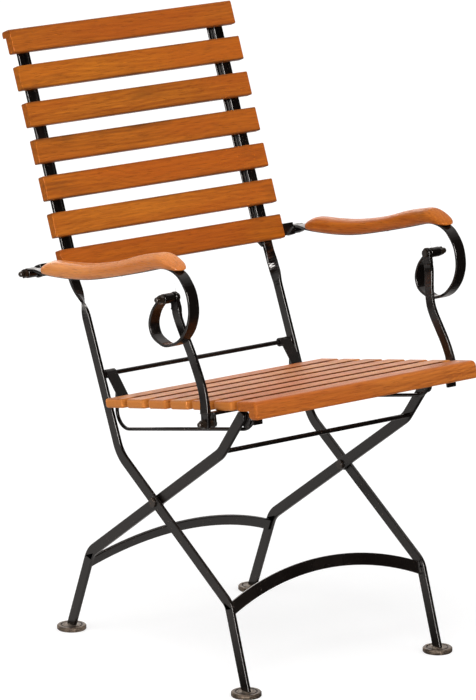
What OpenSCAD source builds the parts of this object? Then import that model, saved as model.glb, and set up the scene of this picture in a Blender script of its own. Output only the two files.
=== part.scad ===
// Folding armchair: flat steel bar frame with wooden slats.
// The chair faces -Y, Z is up and the floor is Z = 0. Left and right are as seen from its front.
// The origin is on the floor, under the middle of the whole chair.

/* [Flat bar] */
// Width of the leg, stile and strut bar
bar_w = 18; // [16:0.5:20]
// Thickness of the leg, stile and strut bar
bar_t = 6; // [5:0.5:6.5]
// Half distance between the centre planes of the front legs
front_leg_x = 196; // [195.5:0.1:197]
// Gap between a front leg and the rear leg beside it
leg_gap = 1.8; // [1:0.1:2.4]

/* [Legs] */
// Height of the pivot where the legs cross
pivot_z = 264.5; // [262:0.5:267]
// Half distance between the front and rear feet
foot_y = 234.5; // [230:0.5:240]
// Diameter of a foot disc
foot_d = 48; // [40:1:56]
// Height of a foot disc
foot_h = 8; // [6:0.5:10]
// Diameter of the rivet through the crossed legs
rivet_d = 8; // [6:0.5:9]
// Rise of the arched stretcher between the front legs
front_arch = 41; // [30:1:50]
// Width of the bar of the front stretcher
front_arch_w = 19.5; // [16:0.5:22]
// Rise of the arched stretcher between the rear legs
rear_arch = 37; // [28:1:44]
// Width of the bar of the rear stretcher
rear_arch_w = 18; // [14:0.5:20]

/* [Back] */
// Lean of the back from the vertical
back_lean = 21.3; // [21:0.1:21.6]
// Length of every back slat
slat_len = 451; // [440:1:460]
// Height of a back slat
slat_h = 39.6; // [36:0.2:42]
// Distance from one back slat to the next, up the slope
slat_pitch = 60.6; // [60:0.1:61]
// Thickness of every slat
slat_t = 15; // [13:0.5:16]
// Height of the lowest back slat's lower edge, up the slope
slat_low = 633.2; // [630:0.2:636]
// Thickness of the strip behind each stile
strip_t = 3; // [2:0.5:4]

/* [Seat] */
// Tilt of the seat, front edge up
seat_tilt = 10.2; // [10:0.1:10.6]
// Half length of the seat slats
seat_half = 224; // [220:0.5:228]
// Width of a seat slat
seat_slat_w = 44.5; // [42:0.5:47]
// Distance from one seat slat to the next
seat_pitch = 57; // [56.5:0.1:57.5]
// Depth of the rounded front slat
nose_w = 49; // [45:1:52]
// Height of the front slat's turned-down lip
nose_h = 28.6; // [26:0.5:32]
// Thickness of a seat rail
rail_t = 3.5; // [3:0.5:4]
// Width of a seat rail
rail_w = 21; // [18:0.5:22]
// Diameter of the rod that the seat hinges on
hinge_rod_d = 7.5; // [6:0.5:8]
// Diameter of the guide rod under each seat rail
guide_d = 6; // [5:0.5:6.5]

/* [Arms] */
// Half distance between the centre planes of the arms
arm_x = 269.5; // [269:0.5:271]
// Width of the steel arm bar
arm_bar_w = 20; // [18:0.5:22]
// Thickness of the steel arm bar
arm_bar_t = 4.5; // [4:0.5:5]
// Width of the wooden arm rest at its widest
rest_w = 38; // [34:1:42]
// Outer diameter of the eyes at the ends of the arm bar
eye_d = 16; // [15:0.5:17]
// Diameter of the arm and strut bolts
bolt_d = 6; // [5:0.5:7]

/* [Hidden] */

$fn = 48;

// Clearances: bolts and rods in their holes, and pieces that lie against each other
run_clear = 0.05;
face_clear = 0.1;
side_clear = 0.4;

steel = [0.16, 0.15, 0.14];
zinc = [0.42, 0.37, 0.32];
timber = [0.72, 0.38, 0.16];

// Distance from the line that the back leans from to the middle of the whole chair
middle_y = 27.68;

// Centre planes and faces across the chair
rear_leg_x = front_leg_x - bar_t - leg_gap;
front_inner_x = front_leg_x - bar_t / 2;
rear_inner_x = rear_leg_x - bar_t / 2;
stile_x = front_leg_x + 2.8;
leg_shift = -2.6;
pivot = [leg_shift, pivot_z];
front_foot_y = leg_shift - foot_y;
rear_foot_y = leg_shift + foot_y;

// Back: y is the depth behind the plane through the floor line, z runs up the slope
stile_front = -27;
stile_back = stile_front + bar_t;
stile_mid = stile_front + bar_t / 2;
lower_mid = stile_mid - 7.4;
slat_front = stile_front - slat_t;
twist_low = 558.5;
twist_high = 617.7;
shift_low = 573;
shift_high = 633;
twist_steps = 18;
top_slat_h = 39.4;
top_slat_low = slat_low + 6 * slat_pitch;
lip_t = 11;
lip_back = -19;
stile_top = top_slat_low + top_slat_h - lip_t - side_clear;
slat_edge_r = 2;
lip_edge_r = 2;
lip_top_r = 4;
strip_low = 626;
strip_bevel = 12;

// Leg centre lines in the Y-Z plane
front_leg_knee = [-194, 139.2];
front_leg_bend = [87.4, 325.9];
rear_leg_knee = [178.6, 141.8];
rear_leg_bend = [-163.8, 375.4];
rear_leg_top = [-215.4, 444.4];
front_knee_r = 30;
rear_knee_r = 45;
front_bend_r = 60;
rear_bend_r = 50;

// Seat: places are [y, z] in the tilted seat, whose z is square to the slats
seat_rear = 11.3;
seat_low = 414.5;
rail_top = seat_low - face_clear;
nose_front = seat_rear - 6 * seat_pitch - nose_w;
lip_d = 16;
seat_corner_r = 4;
seat_edge_r = 3;
nose_top_r = 9;
nose_low_r = 4;
nose_inner_r = 2;
strap_bend_r = 8;
hinge = [138, 445.4];
rail_x = 178.5;
rail_rear = 18;
rail_front = nose_front + 38;
nose_tab_h = 25;
nose_tab_x = 205;
nose_plate_w = 16;
guide_x = 178;
strut_bracket_w = 15;
strut_low = [-205, 441];
strut_low_x = seat_half + 26;
strut_ear_x = strut_low_x - 14;
strut_ear_t = 5;

// Arm: places are [y, z] of the chair's own side view
arm_rear = [222, 608.5];
arm_front = [-134, 629.7];
arm_inner_x = arm_x - arm_bar_w / 2;
arm_outer_x = arm_x + arm_bar_w / 2;
ear_outer_x = arm_inner_x - side_clear;
ear_h = 20;
strut_top_gap = 1.5;
strut_top_x = arm_inner_x - strut_top_gap - bar_t / 2;
nut_across = 13;
nut_t = 5.6;
nut_ball_d = 9.5;
nut_reach = 9.8;
nut_cap = 1;

// Screws that hold the slats
screw_d = 4;
screw_head_d = 9;
screw_head_t = 2.4;
screw_depth = 9;
screw_tip_gap = 0.5;
cut = 1;

// General shapes

function unit(v) = v / norm(v);
function flip(a) = [for (i = [len(a) - 1:-1:0]) a[i]];
function mix(a, b, t) = a + (b - a) * t;

// Length between the angles, taken the short way round
function turn(from, to) = let (d = to - from) d > 180 ? d - 360 : d < -180 ? d + 360 : d;

// Arc of radius r that rounds the corner b between the points a and c
function corner_arc(a, b, c, r, n = 10) =
    let (
        u = unit(a - b),
        v = unit(c - b),
        half = acos(u * v) / 2,
        centre = b + unit(u + v) * r / sin(half),
        p = b + u * r / tan(half) - centre,
        q = b + v * r / tan(half) - centre,
        start = atan2(p[1], p[0]),
        sweep = turn(start, atan2(q[1], q[0]))
    )
    [for (i = [0:n]) centre + r * [cos(start + sweep * i / n), sin(start + sweep * i / n)]];

// Smooth curve through a list of points
function spline_at(a, b, c, d, t) =
    0.5 * (2 * b + (c - a) * t + (2 * a - 5 * b + 4 * c - d) * t * t
    + (3 * b - a - 3 * c + d) * t * t * t);
function spline(p, n = 5) =
    let (last = len(p) - 1)
    concat(
        [for (i = [0:last - 1], k = [0:n - 1])
            spline_at(p[max(i - 1, 0)], p[i], p[i + 1], p[min(i + 2, last)], k / n)],
        [p[last]]
    );

// Side of a band that follows a centre line, offset by d
function band_side(p, d) =
    [for (i = [0:len(p) - 1])
        let (t = unit(p[min(i + 1, len(p) - 1)] - p[max(i - 1, 0)]))
        p[i] + d * [-t[1], t[0]]];

module band(p, width) {
    polygon(concat(band_side(p, width / 2), flip(band_side(p, -width / 2))));
}

function round_rect(w, h, r, n = 3) =
    [for (k = [0:3], i = [0:n])
        let (a = 90 * k + 90 * i / n)
        [(k == 0 || k == 3 ? 1 : -1) * (w / 2 - r) + r * cos(a),
         (k < 2 ? 1 : -1) * (h / 2 - r) + r * sin(a)]];

// Closed skin over a row of sections that have the same number of points
module skin(sections) {
    n = len(sections[0]);
    rows = len(sections);
    points = [for (s = sections, p = s) p];
    sides = [for (i = [0:rows - 2], k = [0:n - 1], half = [0, 1])
        let (a = i * n + k, b = i * n + (k + 1) % n)
        half == 0 ? [a, b, a + n] : [b, b + n, a + n]];
    ends = [
        flip([for (k = [0:n - 1]) k]),
        [for (k = [0:n - 1]) (rows - 1) * n + k]
    ];
    polyhedron(points, concat(sides, ends), convexity = 6);
}

// Draws a shape of the right side, +X, or mirrors it to the left side
module on_side(side) {
    mirror([side == "left" ? 1 : 0, 0, 0]) children();
}

module both_sides() {
    for (side = ["left", "right"]) on_side(side) children();
}

// Extrudes a side-view shape across the chair from x0
module side_plate(x0, thickness) {
    translate([x0, 0, 0]) rotate([90, 0, 90]) linear_extrude(thickness) children();
}

// Cylinder along X at a place [y, z]
module x_rod(place, x0, x1, d) {
    translate([x0, place[0], place[1]]) rotate([0, 90, 0]) cylinder(h = x1 - x0, d = d);
}

module x_hex(place, x0, x1, across) {
    translate([x0, place[0], place[1]])
        rotate([0, 90, 0])
            cylinder(h = x1 - x0, d = across / cos(30), $fn = 6);
}

module x_ball(place, x, d) {
    translate([x, place[0], place[1]]) sphere(d = d, $fn = 32);
}

// Tilted spaces of the back and the seat
module back_space() {
    rotate([-back_lean, 0, 0]) children();
}

module seat_space() {
    rotate([-seat_tilt, 0, 0]) children();
}

function tilted(p, tilt) = [
    p[0] * cos(tilt) - p[1] * sin(tilt),
    p[0] * sin(tilt) + p[1] * cos(tilt)
];
function back_to_world(p) = tilted(p, -back_lean);
function world_to_back(p) = tilted(p, back_lean);
function world_to_seat(p) = tilted(p, seat_tilt);

// Hexagon nut with a ball on its end
module ball_nut(place, x) {
    bore = bolt_d + 2 * run_clear;
    difference() {
        union() {
            x_hex(place, x, x + nut_t, nut_across);
            x_ball(place, x + nut_reach, nut_ball_d);
        }
        x_rod(place, x - cut, x + nut_t - nut_cap, bore);
    }
}

// Legs and stiles

// Place [y, z] where a leg's centre line meets its foot, and the half depth of its level end
leg_end_z = foot_h + face_clear;
function level_half(foot, knee) = bar_w / 2 * norm(knee - foot) / (knee - foot)[1];

// Section of a front leg where its width lies in the side view, square to the direction t
function leg_section(p, t) =
    [for (k = bar_corners)
        let (c = p + k[0] * bar_w / 2 * [t[1], -t[0]])
        [front_leg_x + k[1] * bar_t / 2, c[0], c[1]]];

// Corners of the bar's section: along its width, then across it
bar_corners = [[1, 1], [-1, 1], [-1, -1], [1, -1]];

// Smooth share of the way from low to high
function eased(height, low, high) =
    let (t = min(max((height - low) / (high - low), 0), 1))
    t * t * (3 - 2 * t);

// Section at one height where the bar turns and moves back on its way up
function twist_section(height) =
    let (
        a = 90 * (1 - eased(height, twist_low, twist_high)),
        back = eased(height, shift_low, shift_high),
        centre = [mix(front_leg_x, stile_x, back), mix(lower_mid, stile_mid, back)],
        along = [-cos(a), sin(a)],
        across = [sin(a), cos(a)]
    )
    stile_section([for (k = bar_corners)
        centre + along * k[0] * bar_w / 2 + across * k[1] * bar_t / 2], height);

// Points [x, depth] of the back's space at one height in it, as places in the chair's space
function stile_section(points, height) =
    [for (q = points) let (c = back_to_world([q[1], height])) [q[0], c[0], c[1]]];

module front_leg(side) {
    foot = [front_foot_y, leg_end_z];
    top = back_to_world([lower_mid, twist_low]);
    half = level_half(foot, front_leg_knee);
    line = concat(
        corner_arc(foot, front_leg_knee, front_leg_bend, front_knee_r),
        corner_arc(front_leg_knee, front_leg_bend, top, front_bend_r)
    );
    last = len(line) - 1;
    level = [for (k = bar_corners) [front_leg_x + k[1] * bar_t / 2, foot[0] + k[0] * half, foot[1]]];
    stile_end = [for (k = bar_corners) [stile_x - k[0] * bar_w / 2, stile_mid + k[1] * bar_t / 2]];
    color(steel) on_side(side) difference() {
        skin(concat(
            [level],
            [for (i = [0:last])
                leg_section(line[i], unit(line[min(i + 1, last)] - line[max(i - 1, 0)]))],
            [for (i = [0:twist_steps]) twist_section(mix(twist_low, shift_high, i / twist_steps))],
            [stile_section(stile_end, stile_top)]
        ));
        x_rod(pivot, front_inner_x - cut, front_inner_x + bar_t + cut, rivet_d + 2 * run_clear);
        back_screw_holes();
    }
}

module backing_strip(side) {
    x0 = stile_x - bar_w;
    color(steel) on_side(side) difference() {
        back_space()
            translate([0, stile_back + face_clear + strip_t, 0])
                rotate([90, 0, 0])
                    linear_extrude(strip_t)
                        polygon([
                            [x0, strip_low + strip_bevel],
                            [x0 + bar_w / 2, strip_low],
                            [x0 + bar_w, strip_low],
                            [x0 + bar_w, stile_top],
                            [x0, stile_top]
                        ]);
        back_screw_holes();
    }
}

module rear_leg(side) {
    foot = [rear_foot_y, leg_end_z];
    below = foot + unit(foot - rear_leg_knee) * bar_w / 2;
    line = concat(
        [below],
        corner_arc(foot, rear_leg_knee, rear_leg_bend, rear_knee_r),
        corner_arc(rear_leg_knee, rear_leg_bend, rear_leg_top, rear_bend_r),
        [rear_leg_top]
    );
    color(steel) on_side(side) difference() {
        union() {
            side_plate(rear_inner_x, bar_t) difference() {
                band(line, bar_w);
                translate([rear_foot_y - bar_w, leg_end_z - 2 * bar_w]) square(2 * bar_w);
            }
            x_rod(rear_leg_top, rear_inner_x, rear_inner_x + bar_t, bar_w);
        }
        x_rod(pivot, rear_inner_x - cut, rear_inner_x + bar_t + cut, rivet_d + 2 * run_clear);
    }
}

stretcher_t = 5.5;
front_stretcher_at = [-195.4, 130.9];
rear_stretcher_at = [182.4, 123.9];

// Lean of the lower part of a leg, its top towards +Y
function leg_lean(foot, knee) = atan2(knee[0] - foot, knee[1] - leg_end_z);

// Arched flat bar between two legs, its wide face to the front and in line with their lower
// parts. Its ends are at the place [y, z].
module arch(half, place, rise, width, lean) {
    r = (half * half + rise * rise) / (2 * rise);
    reach = asin(half / r) + 1;
    steps = 24;
    line = [for (i = [0:steps])
        let (a = mix(-reach, reach, i / steps))
        [r * sin(a), rise - r + r * cos(a)]];
    translate([0, place[0], place[1]])
        rotate([90 - lean, 0, 0])
            linear_extrude(stretcher_t, center = true)
                intersection() {
                    band(line, width);
                    translate([-half, -width]) square([2 * half, rise + 2 * width]);
                }
}

module front_stretcher() {
    color(steel) arch(
        front_inner_x - face_clear, front_stretcher_at, front_arch, front_arch_w,
        leg_lean(front_foot_y, front_leg_knee)
    );
}

module rear_stretcher() {
    color(steel) arch(
        rear_inner_x - face_clear, rear_stretcher_at, rear_arch, rear_arch_w,
        leg_lean(rear_foot_y, rear_leg_knee)
    );
}

cross_rod_at = [-174.6, 381.4];
slide_at = [-219.1, 440.7];
slide_d = 26;

module leg_cross_rod() {
    half = rear_inner_x - face_clear;
    color(steel) x_rod(cross_rod_at, -half, half, hinge_rod_d);
}

// Boss on the inside of each rear leg that rides along the guide rod
module slide_bosses() {
    boss_t = rear_inner_x - guide_x - guide_d / 2 - side_clear;
    color(steel) both_sides()
        x_rod(slide_at, rear_inner_x - boss_t, rear_inner_x - run_clear, slide_d);
}

// Foot disc with a groove round its top
foot_edge = 1.5;
foot_groove = 1.5;
foot_groove_d = foot_d - 14;

module foot(side, y, x) {
    r = foot_d / 2;
    groove = foot_groove_d / 2;
    color(zinc) on_side(side) translate([x, y, 0]) rotate_extrude() polygon([
        [0, 0], [r - foot_edge, 0], [r, foot_edge], [r, foot_h - foot_edge],
        [r - foot_edge, foot_h], [groove + foot_groove, foot_h], [groove, foot_h - foot_groove],
        [groove - foot_groove, foot_h], [0, foot_h]
    ]);
}

rivet_head_d = 15;
rivet_head_t = 3;
washer_d = 20;

module leg_pivot_rivets() {
    x0 = rear_inner_x - side_clear;
    x1 = front_inner_x + bar_t + face_clear;
    color(steel) both_sides() {
        x_rod(pivot, x0 - rivet_head_t, x0, rivet_head_d);
        x_rod(pivot, x0, x1, rivet_d);
        x_rod(pivot, x1, x1 + rivet_head_t, rivet_head_d);
    }
}

module leg_pivot_washers() {
    color(steel) both_sides() difference() {
        x_rod(pivot, front_inner_x - leg_gap + side_clear, front_inner_x - face_clear, washer_d);
        x_rod(pivot, front_inner_x - leg_gap, front_inner_x, rivet_d + 2 * run_clear);
    }
}

// Back slats

// Outline of a back slat seen from its end, [depth, height] in the back's space
function slat_outline(low) =
    [for (p = round_rect(slat_t, slat_h, slat_edge_r))
        p + [slat_front + slat_t / 2 - face_clear, low + slat_h / 2]];

module back_beam(outline) {
    back_space()
        translate([-slat_len / 2, 0, 0])
            rotate([90, 0, 90])
                linear_extrude(slat_len)
                    polygon(outline);
}

// Outline of the top slat, whose lip reaches back over the stiles
function top_slat_outline() =
    let (
        high = top_slat_low + top_slat_h,
        front = slat_front - face_clear,
        back = stile_front - face_clear,
        lip_low = high - lip_t
    )
    concat(
        corner_arc([front, high], [front, top_slat_low], [back, top_slat_low], slat_edge_r, 3),
        corner_arc([front, top_slat_low], [back, top_slat_low], [back, high], slat_edge_r, 3),
        [[back, lip_low]],
        corner_arc([back, lip_low], [lip_back, lip_low], [lip_back, high], lip_edge_r, 3),
        corner_arc([lip_back, lip_low], [lip_back, high], [front, high], lip_top_r, 5),
        corner_arc([lip_back, high], [front, high], [front, top_slat_low], lip_top_r, 5)
    );

module back_slat(number) {
    color(timber) difference() {
        if (number == 1) back_beam(top_slat_outline());
        else back_beam(slat_outline(slat_low + (7 - number) * slat_pitch));
        back_screw_holes();
    }
}

// Heights of the screws, one for each back slat
function back_screw_z(number) = slat_low + (7 - number) * slat_pitch + slat_h / 2;
back_screw_x = stile_x - bar_w / 4;

module back_screw(number, d, tip) {
    back_space()
        translate([back_screw_x, stile_back + face_clear + strip_t + cut, back_screw_z(number)])
            rotate([90, 0, 0])
                cylinder(h = strip_t + bar_t + screw_depth + cut + tip, d = d);
}

module back_screw_holes() {
    both_sides() for (number = [1:7]) back_screw(number, screw_d + 2 * run_clear, screw_tip_gap);
}

module back_slat_screws() {
    color(steel) both_sides() for (number = [1:7]) {
        back_screw(number, screw_d, 0);
        back_space()
            translate([
                back_screw_x,
                stile_back + 2 * face_clear + strip_t + screw_head_t,
                back_screw_z(number)
            ])
                rotate([90, 0, 0])
                    cylinder(h = screw_head_t, d = screw_head_d);
    }
}

// Arm brackets and arm hinges

// Flat bar that leaves the stile sideways and turns back into an ear
module arm_bracket(side) {
    x0 = stile_x + bar_w / 2 + face_clear;
    bolt_at = world_to_back(arm_rear);
    low = bolt_at[1] - ear_h / 2;
    color(steel) on_side(side) difference() {
        back_space() {
            translate([x0, stile_front, low]) cube([ear_outer_x - x0, bar_t, ear_h]);
            translate([ear_outer_x - bar_t, stile_front, low])
                cube([bar_t, bolt_at[0] - stile_front, ear_h]);
            x_rod(bolt_at, ear_outer_x - bar_t, ear_outer_x, ear_h);
        }
        x_rod(arm_rear, ear_outer_x - bar_t - cut, ear_outer_x + cut, bolt_d + 2 * run_clear);
    }
}

bolt_head_d = 12;
bolt_head_t = 3;

// Bolt along X with a low round head on its inner end
module x_bolt(place, x0, x1) {
    x_rod(place, x0 - bolt_head_t, x0, bolt_head_d);
    x_rod(place, x0, x1, bolt_d);
}

module arm_hinge_bolts() {
    color(steel) both_sides()
        x_bolt(arm_rear, ear_outer_x - bar_t - face_clear, arm_outer_x + nut_t - nut_cap);
}

module arm_hinge_nuts() {
    color(steel) both_sides() ball_nut(arm_rear, arm_outer_x + side_clear);
}

// Seat

function seat_outline(rear) =
    [for (p = round_rect(seat_slat_w, slat_t, seat_edge_r))
        p + [rear - seat_slat_w / 2, seat_low + slat_t / 2]];

// Seat slat from its end outline, with rounded corners seen from above
module seat_beam(outline, front, rear, low) {
    seat_space() intersection() {
        side_plate(-seat_half, 2 * seat_half) polygon(outline);
        translate([0, (front + rear) / 2, low - cut])
            linear_extrude(nose_h + 2 * cut)
                polygon(round_rect(2 * seat_half, rear - front, seat_corner_r, 5));
    }
}

module seat_slat(number) {
    rear = seat_rear - (number - 1) * seat_pitch;
    color(timber) difference() {
        seat_beam(seat_outline(rear), rear - seat_slat_w, rear, seat_low);
        seat_screw_holes();
    }
}

// Outline of the front slat: rounded over the front edge, lip turned down
function nose_outline() =
    let (
        rear = nose_front + nose_w,
        top = seat_low + slat_t,
        low = top - nose_h,
        inner = nose_front + lip_d
    )
    concat(
        corner_arc([rear, seat_low], [rear, top], [nose_front, top], seat_edge_r, 3),
        corner_arc([rear, top], [nose_front, top], [nose_front, low], nose_top_r, 6),
        corner_arc([nose_front, top], [nose_front, low], [inner, low], nose_low_r, 4),
        corner_arc([nose_front, low], [inner, low], [inner, seat_low], nose_inner_r, 3),
        [[inner, seat_low]],
        corner_arc([inner, seat_low], [rear, seat_low], [rear, top], seat_edge_r, 3)
    );

module seat_nose_slat() {
    color(timber) difference() {
        seat_beam(nose_outline(), nose_front, nose_front + nose_w, seat_low + slat_t - nose_h);
        seat_screw_holes();
    }
}

module seat_rail(side) {
    at = world_to_seat(hinge);
    eye = hinge_rod_d / 2 + run_clear + rail_t;
    mid = rail_top - rail_t / 2;
    ring = eye - rail_t / 2;
    away = at - [rail_rear, mid];
    rise = atan2(away[1], away[0]) + asin(ring / norm(away));
    touch = at + ring * [-sin(rise), cos(rise)];
    start = [rail_front, mid];
    strap = concat([start], corner_arc(start, [rail_rear, mid], touch, strap_bend_r, 6), [touch]);
    inner = rail_x - rail_w / 2;
    color(steel) on_side(side) difference() {
        seat_space() {
            side_plate(inner, rail_w) band(strap, rail_t);
            translate([inner, rail_front, rail_top - rail_t])
                cube([nose_tab_x - inner, nose_plate_w, rail_t]);
            translate([nose_tab_x - bar_w, rail_front, rail_top - nose_tab_h])
                cube([bar_w, rail_t, nose_tab_h]);
            x_rod(at, inner, inner + rail_w, 2 * eye);
        }
        x_rod(hinge, inner - cut, inner + rail_w + cut, hinge_rod_d + 2 * run_clear);
        seat_screw_holes();
    }
}

module seat_hinge_rod() {
    half = front_inner_x - face_clear;
    color(steel) x_rod(hinge, -half, half, hinge_rod_d);
}

module seat_hinge_washers() {
    x0 = rail_x + rail_w / 2 + side_clear;
    color(steel) both_sides() difference() {
        x_rod(hinge, x0, front_inner_x - face_clear, 2 * hinge_rod_d);
        x_rod(hinge, x0 - cut, front_inner_x + cut, hinge_rod_d + 2 * run_clear);
    }
}

// Depths of the screws, one for each seat slat
function seat_screw_y(number) =
    number == 7
        ? rail_front + nose_plate_w / 2
        : seat_rear - (number - 1) * seat_pitch - seat_slat_w / 2;

module seat_screw(number, d, tip) {
    y = seat_screw_y(number);
    seat_space()
        translate([rail_x, y, rail_top - rail_t - cut])
            cylinder(h = rail_t + screw_depth + cut + tip, d = d);
}

module seat_screw_holes() {
    both_sides() for (number = [1:7]) seat_screw(number, screw_d + 2 * run_clear, screw_tip_gap);
}

module seat_slat_screws() {
    color(steel) both_sides() for (number = [1:7]) {
        y = seat_screw_y(number);
        seat_screw(number, screw_d, 0);
        seat_space()
            translate([rail_x, y, rail_top - rail_t - screw_head_t - face_clear])
                cylinder(h = screw_head_t, d = screw_head_d);
    }
}

// Rod under the rail, its ends turned up to the strap behind and the rail in front
guide_rear = [118.5, 427.8];
guide_front = [-236, 459.8];
guide_low_rear = [118.5, 357.4];
guide_low_front = [-236, 427.6];
guide_rear_bend = 26.8;
guide_front_bend = 36;

module guide_rod(side) {
    line = concat(
        [guide_rear],
        corner_arc(guide_rear, guide_low_rear, guide_low_front, guide_rear_bend),
        corner_arc(guide_low_rear, guide_low_front, guide_front, guide_front_bend),
        [guide_front]
    );
    last = len(line) - 1;
    color(steel) on_side(side) skin([for (i = [0:last])
        rod_section(line[i], unit(line[min(i + 1, last)] - line[max(i - 1, 0)]))]);
}

// Round section of the guide rod at the place p, square to the direction t
function rod_section(p, t, corners = 20) =
    [for (k = [0:corners - 1])
        let (c = guide_d / 2 * cos(360 * k / corners), h = guide_d / 2 * sin(360 * k / corners))
        [guide_x + c, p[0] - t[1] * h, p[1] + t[0] * h]];

// Flat bar that leaves the rail's outer edge and turns down into an ear for the strut
module strut_bracket(side) {
    at = world_to_seat(strut_low);
    inner = rail_x + rail_w / 2 + face_clear;
    outer = strut_ear_x + strut_ear_t / 2;
    top = rail_top;
    color(steel) on_side(side) seat_space() {
        translate([inner, at[0] - strut_bracket_w / 2, top - strut_ear_t])
            cube([outer - inner, strut_bracket_w, strut_ear_t]);
        translate([outer - strut_ear_t, at[0] - strut_bracket_w / 2, at[1]])
            cube([strut_ear_t, strut_bracket_w, top - at[1]]);
        x_rod(at, outer - strut_ear_t, outer, strut_bracket_w);
    }
}

// Arms

// Top and underside of the wooden arm rest at its middle, rear tip first
rest_top = [
    [186, 620.5], [179.5, 629.5], [155, 640], [105, 645.5], [54, 652.8], [-12, 668.2],
    [-70, 687.5], [-108, 697.5], [-131, 701], [-155.5, 692.5], [-172.5, 682.5]
];
rest_low = [
    [184, 614.8], [175, 614.6], [152, 615.3], [101, 620], [50, 628.3], [-16, 644.8],
    [-75, 661.3], [-110, 672], [-133, 677.5], [-155, 679.5], [-171.5, 679.5]
];
rest_edge_r = 6;

// Shares of the widest width at the same places
function rest_share(i) = [0.42, 0.71, 0.82, 0.84, 0.86, 0.87, 0.92, 0.97, 1, 0.89, 0.45][i];

// Section of the arm rest: a rounded band between its top and its underside
function rest_section(p) =
    let (
        low = [p[0], p[1]],
        high = [p[2], p[3]],
        w = p[4] * rest_w,
        h = norm(high - low),
        up = unit(high - low),
        mid = (low + high) / 2
    )
    [for (q = round_rect(w, h, min(rest_edge_r, h * 0.44, w * 0.44), 4))
        let (c = mid + up * q[1])
        [arm_x + q[0], c[0], c[1]]];

module arm_rest(side) {
    rows = spline([for (i = [0:len(rest_top) - 1])
        [rest_low[i][0], rest_low[i][1], rest_top[i][0], rest_top[i][1], rest_share(i)]], 4);
    color(timber) on_side(side) difference() {
        skin([for (p = rows) rest_section(p)]);
        side_plate(arm_inner_x - face_clear, arm_bar_w + 2 * face_clear)
            band(arm_bar_line(), arm_bar_t + 2 * face_clear);
        arm_screw_holes();
    }
}

// Centre line of the steel bar: let into the arm rest from below, then down and round in a scroll
bar_proud = 0.5;
bar_rise = arm_bar_t / 2 - bar_proud;
eye_overlap = 0.6;
arm_bar_lead = [[-9, 1.4], [-19, 2.8], [-30, 2.2], [-38, 1.8]];
arm_scroll = [
    [-151, 679], [-166, 675.2], [-178, 667.8], [-193, 650], [-199.5, 628],
    [-198.5, 609], [-189.5, 588], [-170, 568], [-142, 557], [-124, 558.7],
    [-106.5, 567], [-99.5, 584], [-105, 603.5], [-116, 618], [-128, 629.7]
];

function arm_bar_line() =
    let (
        eye_top = arm_rear + [0, eye_d / 2 - arm_bar_t / 2 - eye_overlap],
        lead = [for (step = arm_bar_lead) eye_top + step],
        under = [for (i = [2:8]) rest_low[i] + [0, bar_rise]]
    )
    spline(concat([eye_top], lead, under, arm_scroll), 5);

module arm_bar(side) {
    color(steel) on_side(side) difference() {
        union() {
            side_plate(arm_inner_x, arm_bar_w) band(arm_bar_line(), arm_bar_t);
            x_rod(arm_rear, arm_inner_x, arm_outer_x, eye_d);
            x_rod(arm_front, arm_inner_x, arm_outer_x, eye_d);
        }
        x_rod(arm_rear, arm_inner_x - cut, arm_outer_x + cut, bolt_d + 2 * run_clear);
        x_rod(arm_front, arm_inner_x - cut, arm_outer_x + cut, bolt_d + 2 * run_clear);
        arm_screw_holes();
    }
}

arm_screw_spots = [3, 5, 7];

module arm_screw(i, d, below, tip) {
    p = rest_low[i] + [0, bar_rise - arm_bar_t / 2];
    translate([arm_x, p[0], p[1] - below]) cylinder(h = arm_bar_t + screw_depth + below + tip, d = d);
}

module arm_screw_holes() {
    for (i = arm_screw_spots) arm_screw(i, screw_d + 2 * run_clear, screw_d, screw_tip_gap);
}

module arm_screws(side) {
    color(steel) on_side(side) for (i = arm_screw_spots) arm_screw(i, screw_d, 0, 0);
}

module strut_bolt(side) {
    color(steel) on_side(side)
        x_bolt(arm_front, strut_top_x - bar_t / 2 - side_clear, arm_outer_x + nut_t - nut_cap);
}

module strut_nut(side) {
    color(steel) on_side(side) ball_nut(arm_front, arm_outer_x + face_clear);
}

// Struts

// Side view of a strut between its straight ends, and how far it bows inwards there
strut_side = [
    [-137, 614], [-139.5, 604], [-143, 590], [-148, 573], [-157, 551],
    [-167, 533.5], [-178, 516.5], [-191.5, 494], [-200, 473], [-204, 456]
];
strut_bow = [0, -0.5, 1.4, 4.8, 8.3, 8.2, 6.7, 4.6, 2.1, 0];
strut_last = len(strut_side) - 1;
strut_line = [for (i = [0:strut_last])
    let (x = mix(strut_top_x, strut_low_x, i / strut_last) - strut_bow[i])
    [x, strut_side[i][0], strut_side[i][1]]];

function strut_section(p, t) =
    let (n = unit([-t[2], t[1]]))
    [for (k = bar_corners)
        [p[0] + k[0] * bar_t / 2, p[1] + n[0] * k[1] * bar_w / 2, p[2] + n[1] * k[1] * bar_w / 2]];

module strut(side) {
    line = spline(strut_line, 4);
    last = len(line) - 1;
    color(steel) on_side(side) difference() {
        union() {
            skin([for (i = [0:last])
                strut_section(line[i], line[min(i + 1, last)] - line[max(i - 1, 0)])]);
            strut_end(arm_front, strut_line[0]);
            strut_end(strut_low, strut_line[strut_last]);
        }
        x_rod(arm_front, strut_top_x - bar_t, strut_top_x + bar_t, bolt_d + 2 * run_clear);
        x_rod(strut_low, strut_low_x - bar_t, strut_low_x + bar_t, bolt_d + 2 * run_clear);
    }
}

strut_lap = 1.5;

// Straight end of a strut: a rounded plate from the bolt to the start of the curve
module strut_end(bolt_at, joint) {
    place = [joint[1], joint[2]];
    side_plate(joint[0] - bar_t / 2, bar_t) {
        translate(bolt_at) circle(d = bar_w);
        band([bolt_at, place + unit(place - bolt_at) * strut_lap], bar_w);
    }
}

collar_d = 13;
foot_nut_reach = 8.4;

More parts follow.
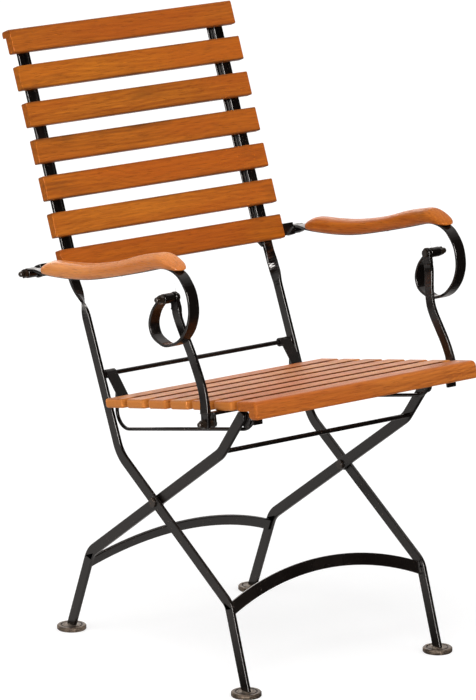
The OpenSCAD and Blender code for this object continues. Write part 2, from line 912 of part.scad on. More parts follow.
// Bolt through the strut's lower end, with a ball nut outside and a collar facing the ear
module strut_foot_bolt(side) {
    inner = strut_low_x - bar_t / 2;
    outer = strut_low_x + bar_t / 2;
    color(steel) on_side(side) {
        x_rod(strut_low, strut_ear_x + strut_ear_t / 2 + side_clear, inner - face_clear, collar_d);
        x_rod(strut_low, inner - cut, outer + cut, bolt_d);
        x_hex(strut_low, outer + face_clear, outer + nut_t, nut_across);
        x_ball(strut_low, outer + foot_nut_reach, nut_ball_d);
    }
}

// Moves a piece from the space above to the chair's own origin
module placed() {
    translate([0, -middle_y, 0]) children();
}

placed() front_leg("left");  // left_front_leg
placed() front_leg("right");  // right_front_leg
placed() backing_strip("left");  // left_backing_strip
placed() backing_strip("right");  // right_backing_strip
placed() back_slat(1);  // back_slat_1
placed() back_slat(2);  // back_slat_2
placed() back_slat(3);  // back_slat_3
placed() back_slat(4);  // back_slat_4
placed() back_slat(5);  // back_slat_5
placed() back_slat(6);  // back_slat_6
placed() back_slat(7);  // back_slat_7
placed() back_slat_screws();
placed() arm_bracket("left");  // left_arm_bracket
placed() arm_bracket("right");  // right_arm_bracket
placed() front_stretcher();
placed() foot("left", front_foot_y, front_leg_x);  // left_front_foot
placed() foot("right", front_foot_y, front_leg_x);  // right_front_foot
placed() leg_pivot_rivets();
placed() leg_pivot_washers();
placed() seat_hinge_rod();
placed() seat_hinge_washers();
placed() arm_hinge_bolts();
placed() arm_hinge_nuts();
placed() rear_leg("left");  // left_rear_leg
placed() rear_leg("right");  // right_rear_leg
placed() rear_stretcher();
placed() leg_cross_rod();
placed() foot("left", rear_foot_y, rear_leg_x);  // left_rear_foot
placed() foot("right", rear_foot_y, rear_leg_x);  // right_rear_foot
placed() slide_bosses();
placed() seat_rail("left");  // left_seat_rail
placed() seat_rail("right");  // right_seat_rail
placed() seat_slat(1);  // seat_slat_1
placed() seat_slat(2);  // seat_slat_2
placed() seat_slat(3);  // seat_slat_3
placed() seat_slat(4);  // seat_slat_4
placed() seat_slat(5);  // seat_slat_5
placed() seat_slat(6);  // seat_slat_6
placed() seat_nose_slat();
placed() seat_slat_screws();
placed() guide_rod("left");  // left_guide_rod
placed() guide_rod("right");  // right_guide_rod
placed() strut_bracket("left");  // left_strut_bracket
placed() strut_bracket("right");  // right_strut_bracket
placed() arm_bar("left");  // left_arm_bar
placed() arm_bar("right");  // right_arm_bar
placed() arm_rest("left");  // left_arm_rest
placed() arm_rest("right");  // right_arm_rest
placed() arm_screws("left");  // left_arm_screws
placed() arm_screws("right");  // right_arm_screws
placed() strut_bolt("left");  // left_strut_bolt
placed() strut_bolt("right");  // right_strut_bolt
placed() strut_nut("left");  // left_strut_nut
placed() strut_nut("right");  // right_strut_nut
placed() strut("left");  // left_strut
placed() strut("right");  // right_strut
placed() strut_foot_bolt("left");  // left_strut_foot_bolt
placed() strut_foot_bolt("right");  // right_strut_foot_bolt
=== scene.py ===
"""Looks of a folding armchair of flat steel bar and wooden slats.

The chair's own frame is used throughout: it faces -Y and Z is up. Outlines of boards and arm
rests are in millimetres; everything in a shader, a modifier or the stage is in metres.
"""

import math

import bpy
import numpy as np
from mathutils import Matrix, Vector

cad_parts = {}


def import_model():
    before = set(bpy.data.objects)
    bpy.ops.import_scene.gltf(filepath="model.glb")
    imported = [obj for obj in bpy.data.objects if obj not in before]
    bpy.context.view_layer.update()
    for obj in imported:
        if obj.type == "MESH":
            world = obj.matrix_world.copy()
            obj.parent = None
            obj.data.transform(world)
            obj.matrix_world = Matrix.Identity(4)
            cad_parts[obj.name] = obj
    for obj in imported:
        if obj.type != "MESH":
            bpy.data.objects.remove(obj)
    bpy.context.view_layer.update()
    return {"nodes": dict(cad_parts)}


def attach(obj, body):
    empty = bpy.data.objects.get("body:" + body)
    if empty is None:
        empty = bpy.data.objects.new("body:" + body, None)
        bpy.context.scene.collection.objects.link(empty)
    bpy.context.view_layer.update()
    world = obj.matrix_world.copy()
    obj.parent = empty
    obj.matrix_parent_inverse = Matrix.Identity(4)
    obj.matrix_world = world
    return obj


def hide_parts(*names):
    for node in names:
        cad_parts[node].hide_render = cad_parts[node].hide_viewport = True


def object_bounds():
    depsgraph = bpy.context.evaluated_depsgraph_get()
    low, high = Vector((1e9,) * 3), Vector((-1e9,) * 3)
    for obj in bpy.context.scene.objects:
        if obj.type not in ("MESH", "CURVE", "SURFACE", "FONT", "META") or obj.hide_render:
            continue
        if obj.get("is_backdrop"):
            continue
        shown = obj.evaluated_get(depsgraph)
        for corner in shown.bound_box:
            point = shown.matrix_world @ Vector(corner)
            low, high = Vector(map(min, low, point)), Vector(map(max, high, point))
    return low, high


BACK_LEAN = math.radians(21.3)
SEAT_TILT = math.radians(10.2)
# How far the middle of the chair's box lies behind the line that back and seat are tilted about
MIDDLE_Y = 27.68


class Value:
    """An output socket of a shader tree that can be used in sums."""

    def __init__(self, tree, socket):
        self.tree = tree
        self.socket = socket

    def node(self, kind, feeds, out=0, **settings):
        """A new node fed with numbers or values, and one of its outputs."""
        made = self.tree.nodes.new(kind)
        for key, setting in settings.items():
            setattr(made, key, setting)
        for name, fed in feeds.items():
            if isinstance(fed, Value):
                self.tree.links.new(fed.socket, made.inputs[name])
            else:
                made.inputs[name].default_value = fed
        return Value(self.tree, made.outputs[out])

    def maths(self, operation, *others):
        fed = {i + 1: other for i, other in enumerate(others)}
        return self.node("ShaderNodeMath", {0: self, **fed}, operation=operation)

    def __add__(self, other):
        return self.maths("ADD", other)

    def __sub__(self, other):
        return self.maths("SUBTRACT", other)

    def __mul__(self, other):
        return self.maths("MULTIPLY", other)

    def __truediv__(self, other):
        return self.maths("DIVIDE", other)

    def ramp(self, low, high, to_low=0.0, to_high=1.0):
        """The value carried from low..high to to_low..to_high, smoothly and held at the ends."""
        feeds = {"Value": self, "From Min": low, "From Max": high, "To Min": to_low, "To Max": to_high}
        return self.node("ShaderNodeMapRange", feeds, interpolation_type="SMOOTHSTEP")

    def blend(self, a, b):
        """Colour a where the value is 0 and b where it is 1."""
        made = self.tree.nodes.new("ShaderNodeMix")
        made.data_type = "RGBA"
        self.tree.links.new(self.socket, made.inputs["Factor"])
        for name, fed in (("A", a), ("B", b)):
            socket = next(s for s in made.inputs if s.name == name and s.type == "RGBA")
            if isinstance(fed, Value):
                self.tree.links.new(fed.socket, socket)
            else:
                socket.default_value = fed
        return Value(self.tree, next(s for s in made.outputs if s.type == "RGBA"))

    def stretched(self, scale, turn=(0, 0, 0), shift=(0, 0, 0)):
        """A place turned, moved and then stretched."""
        moved = self.node("ShaderNodeMapping", {"Vector": self, "Rotation": turn, "Location": shift})
        return moved.node("ShaderNodeVectorMath", {0: moved, 1: scale}, operation="MULTIPLY")

    def noise(self, detail, roughness, distortion=0.0):
        feeds = {"Vector": self, "Scale": 1.0, "Detail": detail, "Roughness": roughness}
        feeds["Distortion"] = distortion
        return self.node("ShaderNodeTexNoise", feeds)

    def dot(self, direction):
        """How far a place reaches along a direction."""
        feeds = {0: self, 1: direction}
        return self.node("ShaderNodeVectorMath", feeds, 1, operation="DOT_PRODUCT")

    def parts(self):
        """The X, Y and Z of a place."""
        made = self.node("ShaderNodeSeparateXYZ", {0: self})
        return [Value(self.tree, s) for s in made.socket.node.outputs]


def srgb(r, g, b):
    """Colour from screen levels 0..255, as linear light with full alpha."""
    def one(c):
        c /= 255
        return c / 12.92 if c <= 0.04045 else ((c + 0.055) / 1.055) ** 2.4
    return (one(r), one(g), one(b), 1.0)


def material(name):
    """A new material, its main shader and the place on the object as a value."""
    made = bpy.data.materials.new(name)
    made.use_nodes = True
    tree = made.node_tree
    shader = tree.nodes["Principled BSDF"]
    place = tree.nodes.new("ShaderNodeTexCoord").outputs["Object"]
    return made, shader, Value(tree, place)


def connect(value, shader, name):
    value.tree.links.new(value.socket, shader.inputs[name])


def bump(shader, height, distance):
    feeds = {"Height": height, "Distance": distance, "Strength": 1.0}
    connect(height.node("ShaderNodeBump", feeds), shader, "Normal")


# Wood: its colours besides the light and dark of each board, and the width of a growth ring
GRAIN_GOLD = srgb(184, 84, 8)
PORE_BROWN = srgb(104, 46, 6)
STAIN_BROWN = srgb(112, 60, 14)
# Painted shade for the gaps between seat slats, a darker brown than the wood
GAP_SHADE_BROWN = srgb(78, 32, 10)
# Painted light on the seat slats' end faces, a lighter orange than the wood
END_PAINTED_LIGHT = srgb(226, 138, 60)
RING_WIDTH = 0.0075
# The darkened band along a board's long edges, and how much of a seat slat's ends is left without the
# painted gap shade
WORN_OUTER, WORN_INNER = 0.0004, 0.0045
UNSHADED_FROM, UNSHADED_TO = 0.03, 0.012


def wood(name, seed, turn, light, dark, along=0, edges=None, gap=None, shine=0.5, rough=0.4):
    """Oiled hardwood, its grain along X (0) or Y (1) of the turned place.

    Edges gives the lowest and highest place up the slope of a board whose long edges are worn
    dark. Gap gives the height under which the sides of a seat slat carry painted shade, the
    height over which they carry none, and half the slat's length. Near the slat's ends that
    shade is left off, and the end faces are painted lighter as painted light. Shine is the
    strength of the wood's reflection and rough its mean roughness.
    """
    made, shader, place = material(name)
    shift = (seed * 1.37, seed * 0.61, seed * 0.83)

    def stretch(length, width):
        scale = [width, width, width]
        scale[along] = length
        return place.stretched(tuple(scale), turn, shift)

    # Noises from broad patches to fine fibres, by how often they change along and across
    broad = stretch(2.4, 10).noise(2.0, 0.5)
    streak = stretch(4, 80).noise(4.0, 0.62, 0.5)
    fibre = stretch(18, 430).noise(3.0, 0.68)
    pore = stretch(48, 640).noise(2.0, 0.5)
    blot = stretch(9, 34).noise(4.0, 0.6)
    wander = stretch(3.2, 7).noise(1.5, 0.5)

    # Growth rings: waves round a line that wanders along the board
    x, _, z = stretch(1.0, 1.0).parts()
    offset = (z if along == 0 else x) + wander * 0.06
    reach = (offset * offset + 0.0007).maths("SQRT") + wander * 0.03
    ring = (reach * (2 * math.pi / RING_WIDTH)).maths("SINE").ramp(-1.0, 1.0)

    tone = streak.ramp(0.32, 0.7) * 0.36 + fibre.ramp(0.34, 0.66) * 0.44 + ring * 0.2
    colour = tone.blend(dark, light)
    colour = (broad.ramp(0.38, 0.66) * 0.5).blend(colour, GRAIN_GOLD)
    dashes = pore.ramp(0.55, 0.68)
    colour = (dashes * 0.34).blend(colour, PORE_BROWN)
    stain = blot.ramp(0.56, 0.76) * 0.5
    if edges:
        up = place.stretched((1, 1, 1), turn).parts()[2]
        middle, half = (edges[0] + edges[1]) / 2, (edges[1] - edges[0]) / 2
        worn = (up - middle).maths("ABSOLUTE").ramp(half - WORN_INNER, half - WORN_OUTER)
        stain = stain + worn * blot.ramp(0.3, 0.62, 0.25, 0.8)
    colour = stain.maths("MINIMUM", 1.0).blend(colour, STAIN_BROWN)
    roughness = fibre.ramp(0.3, 0.7, rough + 0.06, rough - 0.06) + dashes * 0.18
    if gap:
        shaded_below, unshaded_above, half = gap
        right, _, up = place.stretched((1, 1, 1), turn).parts()
        out = right.maths("ABSOLUTE")
        inside = out.ramp(half - UNSHADED_FROM, half - UNSHADED_TO, 1.0, 0.0)
        gap_shade = up.ramp(shaded_below, unshaded_above, 1.0, 0.0) * inside
        # Painted shade down the sides of a seat slat, where the gaps between slats lie in shade
        colour = (gap_shade * 0.96).blend(colour, GAP_SHADE_BROWN)
        # Painted light on the slat's end faces and the ends of its sides
        end = out.ramp(half - 0.007, half - 0.002) * up.ramp(unshaded_above - 0.001, unshaded_above - 0.003)
        colour = (end * 0.7).blend(colour, END_PAINTED_LIGHT)
        roughness = roughness + gap_shade * 0.5
    connect(colour, shader, "Base Color")
    connect(roughness, shader, "Roughness")
    shader.inputs["IOR"].default_value = 1.42
    shader.inputs["Specular IOR Level"].default_value = shine
    bump(shader, fibre * 0.5 - dashes * 0.8 + streak * 0.3, 0.0002)
    return made


def paint(name, base, chip, wear):
    """Near-black paint on steel: fine orange peel, a little dust, rubbed thin here and there."""
    gloss = 0.2
    made, shader, place = material(name)
    cloud = place.stretched((9, 9, 9)).noise(3.0, 0.55)
    fleck = place.stretched((120, 120, 120)).noise(4.0, 0.65)
    peel = place.stretched((420, 420, 420)).noise(2.0, 0.5)
    dusty = [c * 1.7 for c in base[:3]] + [1.0]
    spots = (fleck.ramp(0.66, 0.74) * cloud.ramp(0.42, 0.62)) * wear
    colour = spots.blend(cloud.ramp(0.3, 0.7).blend(base, dusty), chip)
    connect(colour, shader, "Base Color")
    connect(cloud.ramp(0.3, 0.7, gloss - 0.05, gloss + 0.09) + spots * 0.25, shader, "Roughness")
    shader.inputs["IOR"].default_value = 1.5
    bump(shader, peel * 0.5 + fleck * 0.5 - spots, 0.00012)
    return made


# The top of a foot disc: a dark ring, a ring of painted shade round the leg, and a patch of weld
# painted light as its glints, by distance from its middle
GROOVE_AT, GROOVE_W = 0.017, 0.0024
LEG_SHADE_AT, LEG_SHADE_W = 0.0125, 0.0012
WELD_SOLID, WELD_END = 0.0095, 0.0125
DISC_TOP = (0.0055, 0.0062)


def worn_metal(name, light, dark, rough, middle):
    """Dull stained metal of a foot disc: dark rings round its top, the inner one painted shade
    round the leg, and weld spots at its middle, painted light as their glints.
    """
    made, shader, place = material(name)
    cloud = place.stretched((90, 90, 60)).noise(4.0, 0.6)
    grit = place.stretched((600, 600, 600)).noise(3.0, 0.6)
    x, y, z = place.parts()
    out = ((x - middle[0]).maths("POWER", 2.0) + (y - middle[1]).maths("POWER", 2.0)).maths("SQRT")
    colour = (cloud * 0.7 + grit * 0.3).ramp(0.38, 0.62).blend(dark, light)
    groove = (out - GROOVE_AT).maths("ABSOLUTE").ramp(GROOVE_W / 4, GROOVE_W, 1.0, 0.0)
    # Painted shade in a ring round the foot of the leg
    inner = (out - LEG_SHADE_AT).maths("ABSOLUTE").ramp(0.0, LEG_SHADE_W, 0.6, 0.0)
    dark_rings_and_shade = groove.maths("MAXIMUM", inner) * z.ramp(*DISC_TOP)
    colour = dark_rings_and_shade.blend(colour, srgb(46, 38, 32))
    # The weld spots are painted pale to stand for their glints, a painted highlight
    weld = out.ramp(WELD_SOLID, WELD_END, 1.0, 0.0) * grit.ramp(0.42, 0.58)
    colour = (weld * 0.8).blend(colour, srgb(168, 156, 140))
    connect(colour, shader, "Base Color")
    connect(cloud.ramp(0.3, 0.7, rough - 0.08, rough + 0.12), shader, "Roughness")
    shader.inputs["Metallic"].default_value = 0.55
    bump(shader, cloud * 0.4 + grit * 0.6 + weld * 2.0, 0.0002)
    return made


def soften(obj, width, segments=2, clamp=True):
    """Rounds the sharp edges of a CAD node for the picture only."""
    weld = obj.modifiers.new("weld", "WELD")
    weld.merge_threshold = 0.00001
    bevel = obj.modifiers.new("edges", "BEVEL")
    bevel.width = width
    bevel.segments = segments
    bevel.limit_method = "ANGLE"
    bevel.angle_limit = math.radians(32)
    bevel.harden_normals = True
    bevel.use_clamp_overlap = clamp


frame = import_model()
nodes = frame["nodes"]


def set_material(obj, made):
    obj.data.materials.clear()
    obj.data.materials.append(made)


def closed_skin(name, rows):
    """A closed surface over rows of points in millimetres.

    Rows is an array (row, point round the section, xyz). Neighbouring rows are joined by
    quads, and the first and last row are each closed by one face. The faces are turned
    outwards: the sum over the quads of corner dot (corner cross corner) is kept positive.
    """
    count, around = rows.shape[:2]
    row, k = np.meshgrid(np.arange(count - 1), np.arange(around), indexing="ij")
    a = (row * around + k).ravel()
    b = (row * around + (k + 1) % around).ravel()
    quads = np.stack([a, b, b + around, a + around], 1)
    first = list(range(around))[::-1]
    last = [(count - 1) * around + i for i in range(around)]
    points = rows.reshape(-1, 3) / 1000
    across = np.cross(points[quads[:, 1]], points[quads[:, 2]])
    volume = np.einsum("ij,ij->i", points[quads[:, 0]], across).sum()
    faces = quads.tolist() + [first, last]
    if volume < 0:
        faces = [face[::-1] for face in faces]
    mesh = bpy.data.meshes.new(name)
    mesh.from_pydata(points.tolist(), [], faces)
    mesh.shade_smooth()
    obj = bpy.data.objects.new(name, mesh)
    bpy.context.scene.collection.objects.link(obj)
    even = obj.modifiers.new("even", "WEIGHTED_NORMAL")
    even.keep_sharp = True
    return obj


def rounded(corners, radii, steps=5):
    """Outline with rounded corners: at each corner an arc that touches both of its sides."""
    corners = np.array(corners, float)
    points = []
    for i, radius in enumerate(radii):
        a, b, c = corners[i - 1], corners[i], corners[(i + 1) % len(corners)]
        u, v = (a - b) / np.linalg.norm(a - b), (c - b) / np.linalg.norm(c - b)
        half = math.acos(np.clip(u @ v, -1, 1)) / 2
        to_middle = (u + v) / np.linalg.norm(u + v)
        middle = b + to_middle * radius / math.sin(half)
        start = b + u * radius / math.tan(half) - middle
        end = b + v * radius / math.tan(half) - middle
        share = np.linspace(0, 1, steps + 1)[:, None]
        spread = math.acos(np.clip(start @ end / radius**2, -1, 1))
        arc = (np.sin((1 - share) * spread) * start + np.sin(share * spread) * end) / math.sin(spread)
        points.append(middle + arc)
    return np.concatenate(points)


def board(name, outline, half, end_r, tilt, shift=0):
    """A board along X with a given end outline in a tilted space.

    At a distance e from either end its depth and height are drawn in on each side by the end
    radius r less the square root of r squared less the square of (r - e).
    """
    e = end_r * (1 - np.cos(np.linspace(0, math.pi / 2, 9)))
    drawn_in = end_r - np.sqrt(end_r**2 - np.clip(end_r - e, 0, None)**2)
    middle = (outline.min(0) + outline.max(0)) / 2
    size = (outline.max(0) - outline.min(0)) / 2
    x = np.concatenate([e - half, (half - e)[::-1]]) + shift
    shrink = 1 - np.minimum(drawn_in[:, None] / size, 0.9)
    shrink = np.concatenate([shrink, shrink[::-1]])
    flat = middle + (outline - middle)[None] * shrink[:, None]
    depth, height = flat[..., 0], flat[..., 1]
    y = depth * math.cos(tilt) + height * math.sin(tilt) - MIDDLE_Y
    z = -depth * math.sin(tilt) + height * math.cos(tilt)
    return closed_skin(name, np.stack([np.broadcast_to(x[:, None], y.shape), y, z], -1))


def fit(obj, body, made, *replaced):
    """Gives a wooden piece its material and its body, in place of its CAD node."""
    obj.data.materials.append(made)
    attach(obj, body)
    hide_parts(*replaced)


# Back slats, from the top one down. Each has its own board, so its own shade and grain.
BACK_SHADES = [
    ((194, 106, 20), (148, 70, 6)),
    ((206, 118, 20), (162, 84, 8)),
    ((200, 114, 22), (150, 74, 6)),
    ((198, 110, 20), (154, 78, 8)),
    ((204, 112, 18), (156, 76, 6)),
    ((206, 118, 24), (160, 82, 8)),
    ((196, 106, 14), (148, 72, 4)),
]
SLAT_LOW, SLAT_PITCH, SLAT_H, SLAT_T = 633.2, 60.6, 39.6, 15
SLAT_FRONT, SLAT_BACK = -42.1, -27.1
BACK_HALF, BACK_END_R = 225.5, 1.6
# The top slat is a little lower, and its lip laps back over the ends of the bars
TOP_SLAT_H, LIP_BACK, LIP_H = 39.4, -19, 11
# What turning about the line MIDDLE_Y in front of the box's middle takes off a place's height
BACK_DROP = MIDDLE_Y * -math.sin(BACK_LEAN)
for number, (light, dark) in enumerate(BACK_SHADES, 1):
    low = SLAT_LOW + (len(BACK_SHADES) - number) * SLAT_PITCH
    if number == 1:
        high = low + TOP_SLAT_H
        corners = [(SLAT_FRONT, low), (SLAT_BACK, low), (SLAT_BACK, high - LIP_H),
                   (LIP_BACK, high - LIP_H), (LIP_BACK, high), (SLAT_FRONT, high)]
        outline = rounded(corners, [2, 2, 0.3, 2, 4, 4])
    else:
        high = low + SLAT_H
        corners = [(SLAT_FRONT, low), (SLAT_BACK, low), (SLAT_BACK, high), (SLAT_FRONT, high)]
        outline = rounded(corners, [2, 2, 2, 2])
    edges = ((low + BACK_DROP) / 1000, (high + BACK_DROP) / 1000)
    made = wood(f"wood_back_{number}", 3.1 * number, (BACK_LEAN, 0, 0), srgb(*light), srgb(*dark),
                edges=edges, shine=0.25)
    slat = board(f"dressed_back_slat_{number}", outline, BACK_HALF, BACK_END_R, BACK_LEAN)
    fit(slat, "back_frame", made, f"back_slat_{number}")

# Seat slats, from the rear one on, and the rounded front slat with its turned-down lip. The
# boards lie a little to the left, as the real ones do.
SEAT_SHADES = [((218, 138, 56), (178, 100, 32)), ((212, 130, 48), (166, 90, 28))]
NOSE_SHADES = ((208, 120, 42), (160, 80, 20))
SEAT_REAR, SEAT_PITCH, SEAT_W, SEAT_LOW = 11.3, 57, 44.5, 414.5
SEAT_HALF, SEAT_END_R, SEAT_SHIFT = 224, 5, -3.3
SEAT_TOP = SEAT_LOW + SLAT_T
NOSE_NUMBER, NOSE_W, LIP_W, NOSE_H = 7, 49, 16, 28.6
SEAT_DROP = MIDDLE_Y * -math.sin(SEAT_TILT)
gap_top = (SEAT_TOP + SEAT_DROP) / 1000
SEAT_GAP = (gap_top - 0.0007, gap_top + 0.0001, SEAT_HALF / 1000)
for number in range(1, NOSE_NUMBER + 1):
    rear = SEAT_REAR - (number - 1) * SEAT_PITCH
    if number < NOSE_NUMBER:
        front = rear - SEAT_W
        corners = [(front, SEAT_LOW), (rear, SEAT_LOW), (rear, SEAT_TOP), (front, SEAT_TOP)]
        outline = rounded(corners, [3, 3, 3, 3])
        gap, shine = SEAT_GAP, 0.38
        light, dark = SEAT_SHADES[number % 2]
        name = f"seat_slat_{number}"
    else:
        front, low = rear - NOSE_W, SEAT_TOP - NOSE_H
        inner = front + LIP_W
        corners = [(front, low), (inner, low), (inner, SEAT_LOW), (rear, SEAT_LOW),
                   (rear, SEAT_TOP), (front, SEAT_TOP)]
        outline = rounded(corners, [4, 2, 0.3, 3, 3, 9])
        gap, shine = None, 0.32
        light, dark = NOSE_SHADES
        name = "seat_nose_slat"
    made = wood(f"wood_seat_{number}", 50 + 2.7 * number, (SEAT_TILT, 0, 0), srgb(*light),
                srgb(*dark), gap=gap, shine=shine, rough=0.42)
    slat = board("dressed_" + name, outline, SEAT_HALF, SEAT_END_R, SEAT_TILT, SEAT_SHIFT)
    fit(slat, "seat", made, name)


# Arm rests: the top and bottom line from rear to front as (depth, height), and the share of
# the full width at each pair
REST_TOP = [(186, 620.5), (179.5, 629.5), (155, 640), (105, 645.5), (54, 652.8), (-12, 668.2),
            (-70, 687.5), (-108, 697.5), (-131, 701), (-155.5, 692.5), (-172.5, 682.5)]
REST_LOW = [(184, 614.8), (175, 614.6), (152, 615.3), (101, 620), (50, 628.3), (-16, 644.8),
            (-75, 661.3), (-110, 672), (-133, 677.5), (-155, 679.5), (-171.5, 679.5)]
REST_SHARE = [0.42, 0.71, 0.82, 0.84, 0.86, 0.87, 0.92, 0.97, 1, 0.89, 0.45]
REST_W, ARM_X = 38, 269.5
REST_TIP, REST_TAIL, LEAST_SHARE = 5, 7, 0.06
POWER_ABOVE, POWER_BELOW = 0.94, 0.56


def spline(points, u):
    """A smooth curve through points, taken at the places u: 2 is the third point."""
    points = np.array(points, float)
    i = np.clip(np.floor(u).astype(int), 0, len(points) - 2)
    t = (u - i)[:, None]
    a, b = points[np.clip(i - 1, 0, None)], points[i]
    c, d = points[i + 1], points[np.clip(i + 2, None, len(points) - 1)]
    return 0.5 * (2 * b + (c - a) * t + (2 * a - 5 * b + 4 * c - d) * t**2
                  + (3 * b - a - 3 * c + d) * t**3)


def arm_rest(name, side):
    """A carved arm rest.

    Each section is a power oval: half the width times the cosine and half the height times the
    sine of one angle, both raised to a power, fuller below than above. Towards either end the
    sections shrink along a quarter circle.
    """
    turn = np.linspace(0, math.pi / 2, 10)
    last = len(REST_TOP) - 2
    u = np.concatenate([1 - np.cos(turn), np.linspace(1, last, 90)[1:-1], last + np.sin(turn)])
    low, high = spline(REST_LOW, u), spline(REST_TOP, u)
    share = spline(np.array(REST_SHARE)[:, None], u)[:, 0]
    middle, half_up = (low + high) / 2, (high - low) / 2
    way = np.concatenate([[0], np.cumsum(np.linalg.norm(np.diff(middle, axis=0), axis=1))])
    tip = np.minimum(way / REST_TIP, 1)
    tail = np.minimum((way[-1] - way) / REST_TAIL, 1)
    shrink = np.sqrt(1 - (1 - tip)**2) * np.sqrt(1 - (1 - tail)**2)
    shrink = np.clip(shrink, LEAST_SHARE, 1)
    angle = np.linspace(0, 2 * math.pi, 49)[:-1]
    cos, sin = np.cos(angle), np.sin(angle)
    power = np.where(sin > 0, POWER_ABOVE, POWER_BELOW)
    wide = np.sign(cos) * np.abs(cos)**power
    tall = np.sign(sin) * np.abs(sin)**power
    x = ARM_X + (share * REST_W / 2 * shrink)[:, None] * wide[None]
    place = middle[:, None] + (half_up * shrink[:, None])[:, None] * tall[None, :, None]
    rows = np.stack([side * x, place[..., 0] - MIDDLE_Y, place[..., 1]], -1)
    return closed_skin(name, rows)


# The left rest is paler and glossier than the right one, as in the picture
ARM_LOOKS = [
    # The left rest's paler colours stand for the sheen on its top: a painted highlight
    ("left", -1, (248, 164, 88), (220, 130, 58), 0.6, 0.3),
    ("right", 1, (204, 118, 38), (172, 86, 18), 0.25, 0.38),
]
for number, (side, sign, light, dark, shine, rough) in enumerate(ARM_LOOKS, 1):
    made = wood(f"wood_arm_{side}", 90 + 5.3 * number, (0.12, 0, 0), srgb(*light), srgb(*dark),
                along=1, shine=shine, rough=rough)
    rest = arm_rest(f"dressed_{side}_arm_rest", sign)
    fit(rest, f"{side}_arm", made, f"{side}_arm_rest")

# Steel: the frame keeps its CAD nodes, with their edges softened
BAR_EDGE, BOLT_EDGE, FOOT_EDGE = 0.0013, 0.0005, 0.0006
FOOT_LIGHT, FOOT_DARK = srgb(118, 104, 90), srgb(64, 54, 46)
frame_paint = paint("frame_paint", srgb(15, 11, 9), srgb(110, 98, 88), 0.5)
# On bolts and nuts the pale spots are partly worn paint and partly painted glints
bolt_paint = paint("bolt_paint", srgb(40, 31, 24), srgb(176, 150, 118), 1.0)
for name, obj in nodes.items():
    if "slat" in name and "screws" not in name or name.endswith("arm_rest"):
        continue
    if name.endswith("_foot"):
        middle = np.array([tuple(corner) for corner in obj.bound_box]).mean(0)
        set_material(obj, worn_metal(f"metal_{name}", FOOT_LIGHT, FOOT_DARK, 0.48, middle))
        soften(obj, FOOT_EDGE)
    elif any(word in name for word in ("bolt", "nut", "rivet")):
        set_material(obj, bolt_paint)
        soften(obj, BOLT_EDGE)
    else:
        set_material(obj, frame_paint)
        soften(obj, BAR_EDGE, 3, clamp=False)


# Floor, world and lamps. Reflections see a warm studio: light behind the chair, dark in front.
WARM = (1.0, 0.95, 0.915, 1.0)
WHITE = (1.0, 1.0, 1.0, 1.0)
PLAIN_GREY = (0.72, 0.72, 0.72, 1.0)
SEEN_GREY = (0.42, 0.42, 0.42, 1.0)
SEEN_GLOW = 0.68
FLOOR_REACH = 30
# Towards the bright strip on the floor, on the left in front of the chair
STRIP_WAY = (-0.784, -0.621)
# Towards two light boxes: a broad one behind on the right, and a small strong one in front
FAR_BOX = (0.41, 0.85, 0.33)
NEAR_BOX = (-0.575, -0.735, 0.359)


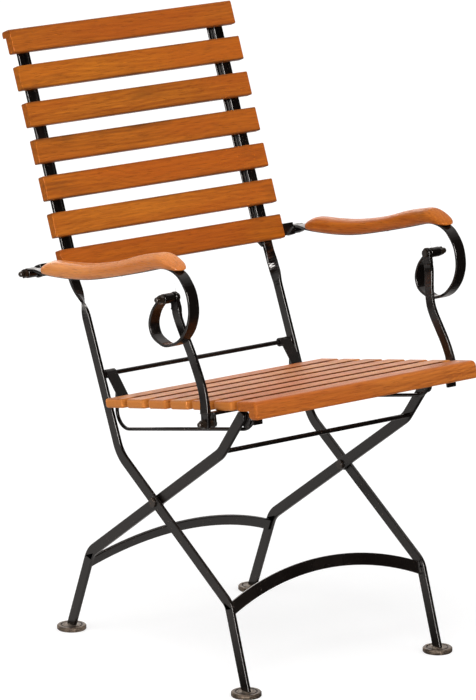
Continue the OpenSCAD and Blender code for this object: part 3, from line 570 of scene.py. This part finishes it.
def floor():
    """A pale floor that keeps a faint shadow and shows white to the camera."""
    mesh = bpy.data.meshes.new("floor")
    r = FLOOR_REACH
    mesh.from_pydata([(-r, -r, 0), (r, -r, 0), (r, r, 0), (-r, r, 0)], [], [(0, 1, 2, 3)])
    obj = bpy.data.objects.new("floor", mesh)
    bpy.context.scene.collection.objects.link(obj)
    made = bpy.data.materials.new("floor_white")
    made.use_nodes = True
    tree = made.node_tree
    tree.nodes.clear()
    rays = tree.nodes.new("ShaderNodeLightPath")
    to_camera = Value(tree, rays.outputs["Is Camera Ray"])
    glossy = Value(tree, rays.outputs["Is Glossy Ray"])
    place = Value(tree, tree.nodes.new("ShaderNodeTexCoord").outputs["Object"])
    x, y, _ = place.parts()
    away = (x * x + y * y).maths("SQRT")
    facing = (x * STRIP_WAY[0] + y * STRIP_WAY[1]) / away
    strip = facing.ramp(0.965, 0.985, 0.0, 4.0) * away.ramp(0.4, 0.7)
    near_or_right = y.ramp(1.95, 2.35, 1.0, 0.12).maths("MAXIMUM", x.ramp(-0.6, 0.3))
    behind = y.ramp(-0.3, 0.15, 0.015, 0.64) * near_or_right + strip
    plain = place.node("ShaderNodeBsdfDiffuse", {"Color": PLAIN_GREY})
    seen = place.node("ShaderNodeBsdfDiffuse", {"Color": SEEN_GREY})
    glow = place.node("ShaderNodeEmission", {"Color": WHITE, "Strength": SEEN_GLOW})
    mirror = place.node("ShaderNodeEmission", {"Color": WARM, "Strength": behind})
    lit = place.node("ShaderNodeAddShader", {0: seen, 1: glow})
    base = place.node("ShaderNodeMixShader", {0: glossy, 1: plain, 2: mirror})
    mixed = place.node("ShaderNodeMixShader", {0: to_camera, 1: base, 2: lit})
    out = tree.nodes.new("ShaderNodeOutputMaterial")
    tree.links.new(mixed.socket, out.inputs["Surface"])
    mesh.materials.append(made)
    obj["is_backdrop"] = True


def world():
    """White to the camera; for reflections white behind the chair and above, dark in front."""
    made = bpy.data.worlds.new("studio")
    made.use_nodes = True
    tree = made.node_tree
    tree.nodes.clear()
    rays = tree.nodes.new("ShaderNodeLightPath")
    to_camera = Value(tree, rays.outputs["Is Camera Ray"])
    glossy = Value(tree, rays.outputs["Is Glossy Ray"])
    clear = Value(tree, rays.outputs["Is Transmission Ray"])
    place = Value(tree, tree.nodes.new("ShaderNodeTexCoord").outputs["Generated"])
    _, y, z = place.parts()
    behind = y.ramp(-0.25, 0.45, 0.02, 0.82)
    above = z.ramp(0.6, 0.85, 0.0, 1.0) * y.ramp(-0.5, 0.0)
    near_box = place.dot(NEAR_BOX).ramp(0.95, 0.98, 0.0, 30.0)
    far_box = place.dot(FAR_BOX).ramp(0.94, 0.985, 0.0, 2.4)
    mirror = behind.maths("MAXIMUM", above) + (near_box + far_box)
    soft = place.node("ShaderNodeBackground", {"Color": WHITE, "Strength": 0.5})
    shiny = place.node("ShaderNodeBackground", {"Color": WARM, "Strength": mirror})
    white = place.node("ShaderNodeBackground", {"Color": WHITE, "Strength": 1.0})
    base = place.node("ShaderNodeMixShader", {0: glossy, 1: soft, 2: shiny})
    seen = to_camera.maths("MAXIMUM", clear)
    mixed = place.node("ShaderNodeMixShader", {0: seen, 1: base, 2: white})
    out = tree.nodes.new("ShaderNodeOutputWorld")
    tree.links.new(mixed.socket, out.inputs["Surface"])
    bpy.context.scene.world = made


def sun(name, azimuth, elevation, strength, spread):
    """A soft distant lamp that reflections don't see.

    Azimuth 0 stands in front of the chair and 90 at its +X side.
    """
    data = bpy.data.lights.new(name, "SUN")
    data.energy = strength
    data.angle = math.radians(spread)
    obj = bpy.data.objects.new(name, data)
    a, e = math.radians(azimuth), math.radians(elevation)
    to_lamp = Vector((math.sin(a) * math.cos(e), -math.cos(a) * math.cos(e), math.sin(e)))
    obj.rotation_mode = "QUATERNION"
    obj.rotation_quaternion = to_lamp.to_track_quat("Z", "Y")
    obj.visible_glossy = False
    bpy.context.scene.collection.objects.link(obj)


floor()
world()
sun("key", azimuth=-62, elevation=58, strength=1.35, spread=40)
sun("fill", azimuth=24, elevation=34, strength=0.8, spread=60)


# The photograph's viewpoint. The lens and its shifts are in pixels of the 476 x 700 picture.
VIEW_AZIMUTH, VIEW_ELEVATION = math.radians(-38.3856), math.radians(13.6145)
VIEW_DISTANCE = 8.5886
VIEW_TARGET = Vector((0, -MIDDLE_Y / 1000, 0.45))
LONG_SIDE, LENS, SHIFT_X, SHIFT_Y = 700, 5367, -12.4, 20.1
SENSOR = 36


def camera():
    """The camera stands where the photograph was taken from, level and with a long lens."""
    back = Vector((
        math.sin(VIEW_AZIMUTH) * math.cos(VIEW_ELEVATION),
        -math.cos(VIEW_AZIMUTH) * math.cos(VIEW_ELEVATION),
        math.sin(VIEW_ELEVATION),
    ))
    data = bpy.data.cameras.new("camera")
    data.sensor_width = SENSOR
    data.lens = LENS * SENSOR / LONG_SIDE
    data.shift_x = SHIFT_X / LONG_SIDE
    data.shift_y = SHIFT_Y / LONG_SIDE
    data.clip_start = 0.1
    data.clip_end = 100
    obj = bpy.data.objects.new("camera", data)
    obj.location = VIEW_TARGET + back * VIEW_DISTANCE
    obj.rotation_mode = "QUATERNION"
    obj.rotation_quaternion = back.to_track_quat("Z", "Y")
    bpy.context.scene.collection.objects.link(obj)
    bpy.context.scene.camera = obj


camera()
bpy.context.scene.view_settings.view_transform = "Standard"

low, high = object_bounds()
